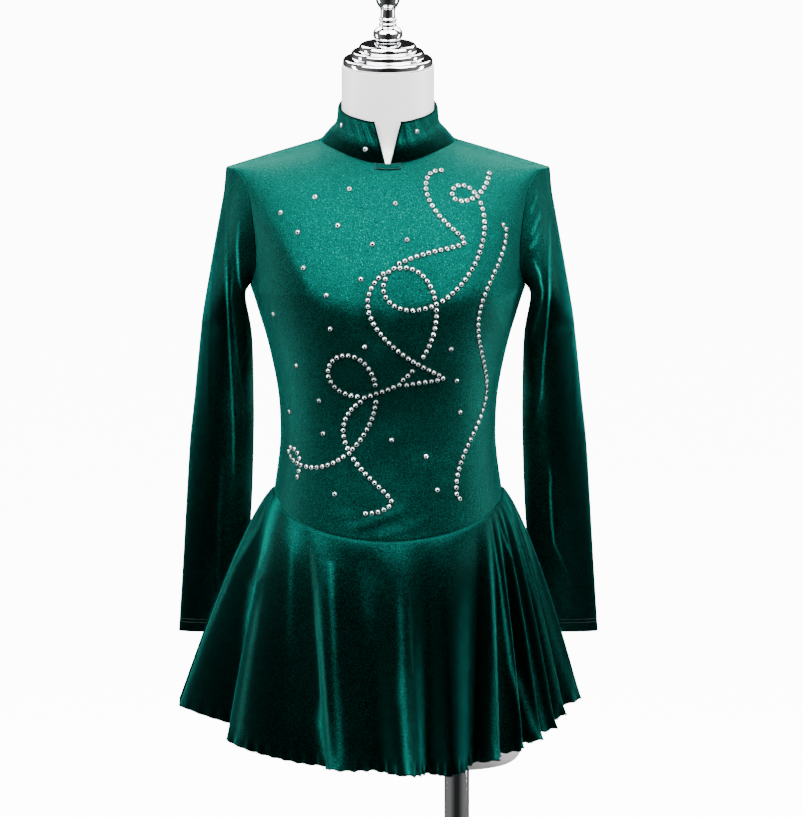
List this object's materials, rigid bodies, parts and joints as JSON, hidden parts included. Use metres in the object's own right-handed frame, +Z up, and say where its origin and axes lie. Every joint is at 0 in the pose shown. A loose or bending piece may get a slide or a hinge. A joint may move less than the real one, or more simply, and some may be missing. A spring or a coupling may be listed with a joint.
{
  "type": "figure skating dress on a dress form",
  "caption": "Long-sleeved velvet skating dress with a stand collar, fitted bodice and flared circular skirt, worn by a limbless dress form on a pole and round base.",
  "frame": {"origin": "centre of the base plate's underside, on the pole's axis, at floor level", "axes": "+Z up, the front of the dress faces -Y, +X is the viewer's right"},
  "size_m": [0.5155, 0.402, 1.6126],
  "materials": {
    "velvet": "stretch velvet with a short pile",
    "form_shell": "satin moulded shell",
    "chrome": "polished"
  },
  "bodies": {
    "root": {"bodice_front": "velvet", "bodice_back_left": "velvet", "bodice_back_right": "velvet", "collar_left": "velvet", "collar_right": "velvet", "sleeve_left": "velvet", "sleeve_right": "velvet", "skirt_front": "velvet", "skirt_back": "velvet", "form_body": "form_shell", "neck_cap": "chrome", "finial": "chrome", "pole": "chrome", "base_hub": "chrome", "base_plate": "chrome"}
  },
  "joints": []
}
